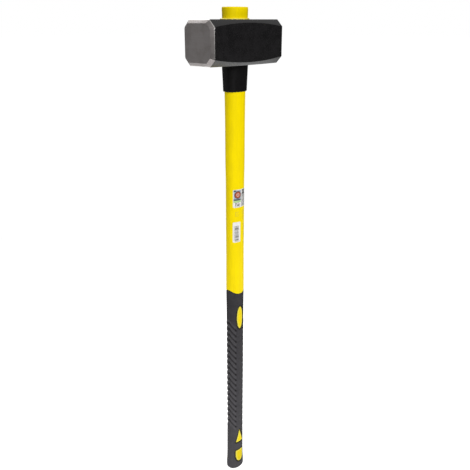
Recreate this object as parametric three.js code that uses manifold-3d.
// Long-handled sledgehammer: a double-faced octagonal steel head on a jacketed fibreglass handle.
// Millimetres. +Z runs up the handle to the head, +X runs along the head to one striking face,
// and the origin is the centre of the butt's underside.

import * as THREE from 'three';
import { mergeVertices } from 'three/addons/utils/BufferGeometryUtils.js';
import Module from 'manifold-3d';

const wasm = await Module();
wasm.setup();

// ---- Driving dimensions ----

const handleLength = 900;      // butt underside to the top of the handle's end
const stubHeight = 18.8;       // handle end standing above the head
const seatGap = 0.3;           // clearance between two pieces that seat on each other

const headLength = 168;        // striking face to striking face
const headWidth = 68;
const headHeight = 70;
const faceBevel = 5.7;         // 45 degree bevel around each striking face
const faceChamfer = 11.1;      // corner chamfer where the bevel starts
const cheekChamfer = 5;        // the same chamfer beside the eye
const headStations = 9;        // sections from bevel to bevel

const sectionPower = 2.2;      // superellipse power of every handle section
const sectionSides = 32;
const epoxyWall = 1.2;         // resin thickness between handle and eye
const beadReach = 1.6;         // resin squeezed out over the head's top
const beadHeight = 1.8;
const beadProfile = [          // the bead's outside from the head up, as shares of its height and reach
  { rise: 0, reach: 0.8 },
  { rise: 0.3, reach: 1 },
  { rise: 0.8, reach: 0.4 },
  { rise: 1, reach: -0.45 },
];

const collarLength = 43.4;
const collarTop = { long: 48.2, wide: 35.7 };
const collarBottom = { long: 44.1, wide: 32.7 };
const collarLip = 1.4;         // rounding of the collar's lower edge
const lipFacet = 0.3;          // where the rounding's middle corner lies, as a share of its radius

const gripLength = 406.6;      // butt underside to the sleeve's highest point, on the narrow sides
const gripDip = 8;             // how much lower the sleeve ends on the broad sides
const gripWall = 2.6;
const buttWall = 7;            // sleeve thickness under the handle's end

const coreDiameter = 16;
const coreInset = 0.8;         // rod end below the top of the handle's end
const coreFloor = 6;           // jacket left under the rod

// Handle sections: the grip's are measured up from the butt, the shaft's up from the grip's upper edge,
// the neck's down from the head and the end's down from the handle's top.
const gripSections = [
  { up: 0, long: 32.4, wide: 24.2 },
  { up: 0.9, long: 34.8, wide: 26.6 },
  { up: 3, long: 36.5, wide: 28.0 },
  { up: 10, long: 36.6, wide: 28.1 },
  { up: 26, long: 34.9, wide: 27.0 },
  { up: 45, long: 34.2, wide: 26.5 },
  { up: 80, long: 34.1, wide: 26.5 },
  { up: 106, long: 33.3, wide: 25.9 },
  { up: 192, long: 33.8, wide: 26.3 },
  { up: 252, long: 34.2, wide: 26.5 },
  { up: 311, long: 34.3, wide: 26.6 },
  { up: 379, long: 35.2, wide: 27.3 },
];
const shaftSections = [
  { up: 10, long: 36.0, wide: 28.0 },
  { up: 70, long: 35.3, wide: 27.4 },
];
const neckSections = [
  { down: 208, long: 35.3, wide: 27.4 },
  { down: 155, long: 36.6, wide: 28.4 },
  { down: 105, long: 36.8, wide: 28.6 },
  { down: 62, long: 37.6, wide: 29.2 },
  { down: 44, long: 38.2, wide: 29.6 },
  { down: 0, long: 44.0, wide: 30.6 },
];
const eyeTop = { long: 46.5, wide: 33.5 };
const endSections = [
  { down: 2, long: 47.6, wide: 34.3 },
  { down: 0.5, long: 46.6, wide: 33.3 },
  { down: 0, long: 44.8, wide: 31.5 },
];

// Windows in the grip, through which the jacket's raised pads show on both broad sides.
const ovalWindow = { belowEdge: 58.2, halfHeight: 23, halfWidth: 7.3 };
const triangleWindow = { base: 64, apex: 93.4, halfWidth: 9.2, corner: 1.8 };
const shieldWindow = { top: 43.6, bottom: 16.2, halfWidth: 9.2, corner: 1.4 };

// Labels, placed from the middle of the bare shaft between grip and collar.
const labelGap = 0.2;
const labelThickness = 0.25;
const productLabel = { above: -3, height: 32.6, left: -14.3, right: 14.3, corner: 1.2 };
const barcodeLabel = { above: -65.5, height: 38.3, left: -14.6, right: -0.5, corner: 1.2 };

// ---- Levels worked out from the driving dimensions ----

const headTop = handleLength - stubHeight;
const headBottom = headTop - headHeight;
const headMiddle = (headTop + headBottom) / 2;
const collarFoot = headBottom - collarLength;
const bareShaftMiddle = (gripLength + collarFoot) / 2;
const farAway = 60;            // half-length of a cutter that passes right through the handle
const overshoot = 1;           // how far a cutter runs past the face that it opens

const handleSections = [
  ...gripSections.map(({ up, long, wide }) => ({ z: up, long, wide })),
  ...shaftSections.map(({ up, long, wide }) => ({ z: gripLength + up, long, wide })),
  ...neckSections.map(({ down, long, wide }) => ({ z: headBottom - down, long, wide })),
  { z: headTop, ...eyeTop },
  ...endSections.map(({ down, long, wide }) => ({ z: handleLength - down, long, wide })),
].sort((low, high) => low.z - high.z);

// ---- Solids ----

// A closed solid through rings of points that run anticlockwise seen from the last ring.
function loft(rings) {
  const sides = rings[0].length;
  const points = rings.flat();
  const index = [];
  for (let level = 0; level < rings.length - 1; level += 1) {
    for (let side = 0; side < sides; side += 1) {
      const next = (side + 1) % sides;
      const a = level * sides + side;
      const b = level * sides + next;
      index.push(a, b, b + sides, a, b + sides, a + sides);
    }
  }
  const last = (rings.length - 1) * sides;
  for (let side = 1; side < sides - 1; side += 1) {
    index.push(0, side + 1, side);
    index.push(last, last + side, last + side + 1);
  }
  const geometry = new THREE.BufferGeometry().setFromPoints(points);
  geometry.setIndex(index);
  return geometry;
}

function toSolid(geometry) {
  const bare = geometry.clone();
  bare.deleteAttribute('normal');
  bare.deleteAttribute('uv');
  const merged = mergeVertices(bare);
  const mesh = new wasm.Mesh({
    numProp: 3,
    vertProperties: new Float32Array(merged.attributes.position.array),
    triVerts: new Uint32Array(merged.index.array),
  });
  return new wasm.Manifold(mesh);
}

function toMesh(name, solid, material) {
  const { vertProperties, triVerts } = solid.getMesh();
  const geometry = new THREE.BufferGeometry();
  geometry.setAttribute('position', new THREE.BufferAttribute(new Float32Array(vertProperties), 3));
  geometry.setIndex(new THREE.BufferAttribute(new Uint32Array(triVerts), 1));
  geometry.computeVertexNormals();
  const mesh = new THREE.Mesh(geometry, material);
  mesh.name = name;
  return mesh;
}

function ovalRing(z, halfLong, halfWide) {
  const ring = [];
  for (let side = 0; side < sectionSides; side += 1) {
    const angle = (2 * Math.PI * side) / sectionSides;
    const along = Math.cos(angle);
    const across = Math.sin(angle);
    const x = halfLong * Math.sign(along) * Math.abs(along) ** (2 / sectionPower);
    const y = halfWide * Math.sign(across) * Math.abs(across) ** (2 / sectionPower);
    ring.push(new THREE.Vector3(x, y, z));
  }
  return ring;
}

// The handle's section at a height, by straight lines between the stated sections.
function sectionAt(z) {
  const after = handleSections.findIndex((section) => section.z >= z);
  if (after === 0) return { ...handleSections[0], z };
  if (after === -1) return { ...handleSections[handleSections.length - 1], z };
  const low = handleSections[after - 1];
  const high = handleSections[after];
  const share = (z - low.z) / (high.z - low.z);
  return {
    z,
    long: THREE.MathUtils.lerp(low.long, high.long, share),
    wide: THREE.MathUtils.lerp(low.wide, high.wide, share),
  };
}

// The handle's outside between two heights, grown or shrunk by an offset all round.
function handleBody(from, to, offset = 0) {
  const between = handleSections.filter(({ z }) => z > from + seatGap / 2 && z < to - seatGap / 2);
  const sections = [sectionAt(from), ...between, sectionAt(to)];
  const rings = sections.map(({ z, long, wide }) => ovalRing(z, long / 2 + offset, wide / 2 + offset));
  return toSolid(loft(rings));
}

// An outline drawn in X and Z, carried through the handle along Y from one depth to another.
function crossPrism(shape, from, to) {
  const geometry = new THREE.ExtrudeGeometry(shape, {
    depth: to - from,
    bevelEnabled: false,
    curveSegments: 8,
  });
  geometry.rotateX(Math.PI / 2);
  geometry.translate(0, to, 0);
  return toSolid(geometry);
}

// ---- Outlines ----

function ovalOutline({ belowEdge, halfHeight, halfWidth }, inset) {
  const shape = new THREE.Shape();
  const middle = gripLength - belowEdge;
  shape.absellipse(0, middle, halfWidth - inset, halfHeight - inset, 0, 2 * Math.PI, false, 0);
  return shape;
}

// A closed outline through corner points, each corner rounded by a quadratic curve.
function roundedOutline(corners, radius) {
  const shape = new THREE.Shape();
  corners.forEach((corner, index) => {
    const previous = corners[(index + corners.length - 1) % corners.length];
    const following = corners[(index + 1) % corners.length];
    const enter = corner.clone().add(previous.clone().sub(corner).setLength(radius));
    const leave = corner.clone().add(following.clone().sub(corner).setLength(radius));
    if (index === 0) shape.moveTo(enter.x, enter.y);
    else shape.lineTo(enter.x, enter.y);
    shape.quadraticCurveTo(corner.x, corner.y, leave.x, leave.y);
  });
  shape.closePath();
  return shape;
}

function triangleOutline({ base, apex, halfWidth, corner }, inset) {
  const slope = Math.hypot(halfWidth, apex - base) / halfWidth;
  const top = apex - inset * slope;
  const low = base + inset;
  const half = (halfWidth * (top - low)) / (apex - base);
  const corners = [new THREE.Vector2(-half, low), new THREE.Vector2(half, low), new THREE.Vector2(0, top)];
  return roundedOutline(corners, corner);
}

// Flat across the top, straight sides, and a half ellipse below.
function shieldOutline({ top, bottom, halfWidth, corner }, inset) {
  const half = halfWidth - inset;
  const lid = top - inset;
  const waist = (top + bottom) / 2;
  const shape = new THREE.Shape();
  shape.moveTo(-half, waist);
  shape.absellipse(0, waist, half, waist - bottom - inset, Math.PI, 2 * Math.PI, false, 0);
  shape.lineTo(half, lid - corner);
  shape.quadraticCurveTo(half, lid, half - corner, lid);
  shape.lineTo(-half + corner, lid);
  shape.quadraticCurveTo(-half, lid, -half, lid - corner);
  shape.closePath();
  return shape;
}

function labelOutline({ above, height, left, right, corner }) {
  const middle = bareShaftMiddle + above;
  const corners = [
    new THREE.Vector2(left, middle - height / 2),
    new THREE.Vector2(right, middle - height / 2),
    new THREE.Vector2(right, middle + height / 2),
    new THREE.Vector2(left, middle + height / 2),
  ];
  return roundedOutline(corners, corner);
}

// ---- Pieces of the grip that jacket and sleeve share ----

// Everything below the sleeve's upper edge, an arch that is highest over the narrow sides.
function belowGripEdge(lift) {
  const halfWide = sectionAt(gripLength).wide / 2;
  const reach = 2 * halfWide;
  const drop = gripDip * (reach / halfWide) ** 2;
  const edge = gripLength - drop + lift;
  const shape = new THREE.Shape();
  shape.moveTo(-reach, -farAway);
  shape.lineTo(reach, -farAway);
  shape.lineTo(reach, edge);
  shape.quadraticCurveTo(0, edge + 2 * drop, -reach, edge);
  shape.closePath();
  const geometry = new THREE.ExtrudeGeometry(shape, {
    depth: 2 * farAway,
    bevelEnabled: false,
    curveSegments: 16,
  });
  geometry.rotateX(Math.PI / 2);
  geometry.rotateZ(Math.PI / 2);
  geometry.translate(-farAway, 0, 0);
  return toSolid(geometry);
}

function windowPrisms(inset) {
  const outlines = [
    ovalOutline(ovalWindow, inset),
    triangleOutline(triangleWindow, inset),
    shieldOutline(shieldWindow, inset),
  ];
  return outlines
    .map((outline) => crossPrism(outline, -farAway, farAway))
    .reduce((joined, prism) => joined.add(prism));
}

// ---- Sub-parts ----

function makeHeadBody() {
  const bevelStart = headLength / 2 - faceBevel;
  const octagonRing = (x, inset) => {
    const share = Math.min(Math.abs(x) / bevelStart, 1);
    const full = THREE.MathUtils.lerp(cheekChamfer, faceChamfer, share ** 2);
    const chamfer = full - inset * (2 - Math.SQRT2);
    const y = headWidth / 2 - inset;
    const z = headHeight / 2 - inset;
    const corners = [
      [y, z - chamfer], [y - chamfer, z], [chamfer - y, z], [-y, z - chamfer],
      [-y, chamfer - z], [chamfer - y, -z], [y - chamfer, -z], [y, chamfer - z],
    ];
    return corners.map(([across, up]) => new THREE.Vector3(x, across, headMiddle + up));
  };
  const rings = [octagonRing(-headLength / 2, faceBevel)];
  for (let station = 0; station < headStations; station += 1) {
    const share = station / (headStations - 1);
    rings.push(octagonRing(THREE.MathUtils.lerp(-bevelStart, bevelStart, share), 0));
  }
  rings.push(octagonRing(headLength / 2, faceBevel));
  return toSolid(loft(rings));
}

function makeHead() {
  const eye = handleBody(headBottom - overshoot, headTop + overshoot, epoxyWall + 2 * seatGap);
  return makeHeadBody().subtract(eye);
}

function makeCore() {
  const bottom = buttWall + coreFloor;
  const top = handleLength - coreInset;
  const geometry = new THREE.CylinderGeometry(coreDiameter / 2, coreDiameter / 2, top - bottom, sectionSides);
  geometry.rotateX(Math.PI / 2);
  geometry.translate(0, 0, (top + bottom) / 2);
  return toSolid(geometry);
}

function makeCoreBore() {
  const radius = coreDiameter / 2 + seatGap;
  const bottom = buttWall + coreFloor - seatGap;
  const top = handleLength + overshoot;
  const geometry = new THREE.CylinderGeometry(radius, radius, top - bottom, sectionSides);
  geometry.rotateX(Math.PI / 2);
  geometry.translate(0, 0, (top + bottom) / 2);
  return toSolid(geometry);
}

function makeJacket() {
  const outside = handleBody(0, handleLength);
  const shoulder = outside.subtract(belowGripEdge(seatGap));
  const inside = handleBody(buttWall, gripLength + gripWall, -gripWall);
  const pads = outside.intersect(windowPrisms(seatGap));
  return inside.add(shoulder).add(pads).subtract(makeCoreBore());
}

function makeGrip() {
  const outside = handleBody(0, handleLength).intersect(belowGripEdge(0));
  const socket = handleBody(buttWall - seatGap, gripLength + gripWall, seatGap - gripWall);
  return outside.subtract(socket).subtract(windowPrisms(0));
}

function makeEpoxy() {
  const ring = handleBody(headBottom, headTop + 2 * seatGap, epoxyWall + seatGap);
  const { long, wide } = sectionAt(headTop);
  const beadRing = (up, reach) => ovalRing(headTop + up, long / 2 + reach, wide / 2 + reach);
  const reach = epoxyWall + seatGap;
  const bead = toSolid(loft(beadProfile.map(({ rise, reach: share }) => (
    beadRing(seatGap + beadHeight * rise, reach + beadReach * share)))));
  const handle = handleBody(headBottom - overshoot, headTop + beadHeight + overshoot, seatGap);
  return ring.add(bead).subtract(handle);
}

function makeCollar() {
  const top = headBottom - seatGap;
  const facet = collarLip * lipFacet;
  const rings = [
    ovalRing(collarFoot, collarBottom.long / 2 - collarLip, collarBottom.wide / 2 - collarLip),
    ovalRing(collarFoot + facet, collarBottom.long / 2 - facet, collarBottom.wide / 2 - facet),
    ovalRing(collarFoot + collarLip, collarBottom.long / 2, collarBottom.wide / 2),
    ovalRing(top, collarTop.long / 2, collarTop.wide / 2),
  ];
  const passage = handleBody(collarFoot - overshoot, headBottom + overshoot, seatGap);
  return toSolid(loft(rings)).subtract(passage);
}

function makeLabel(label) {
  const middle = bareShaftMiddle + label.above;
  const from = middle - label.height;
  const to = middle + label.height;
  const outer = handleBody(from, to, labelGap + labelThickness);
  const inner = handleBody(from, to, labelGap);
  return outer.subtract(inner).intersect(crossPrism(labelOutline(label), -farAway, 0));
}

// ---- Materials ----

function finish(color, roughness, metalness) {
  return new THREE.MeshStandardMaterial({ color, roughness, metalness });
}

const lacqueredSteel = () => finish('#2b292b', 0.45, 0.6);
const fibreglass = () => finish('#d9d2b4', 0.6, 0);
const yellowPlastic = () => finish('#f6dc04', 0.35, 0);
const resin = () => finish('#d8d2a6', 0.25, 0);
const collarRubber = () => finish('#19171a', 0.7, 0);
const gripRubber = () => finish('#48464a', 0.75, 0);
const printedPaper = () => finish('#f2f2f0', 0.4, 0);

// ---- Assembly ----

const sledgehammer = new THREE.Group();
sledgehammer.add(
  toMesh('head', makeHead(), lacqueredSteel()),
  toMesh('handle_core', makeCore(), fibreglass()),
  toMesh('handle_jacket', makeJacket(), yellowPlastic()),
  toMesh('eye_epoxy', makeEpoxy(), resin()),
  toMesh('collar', makeCollar(), collarRubber()),
  toMesh('grip', makeGrip(), gripRubber()),
  toMesh('product_label', makeLabel(productLabel), printedPaper()),
  toMesh('barcode_label', makeLabel(barcodeLabel), printedPaper()),
);

export default sledgehammer;
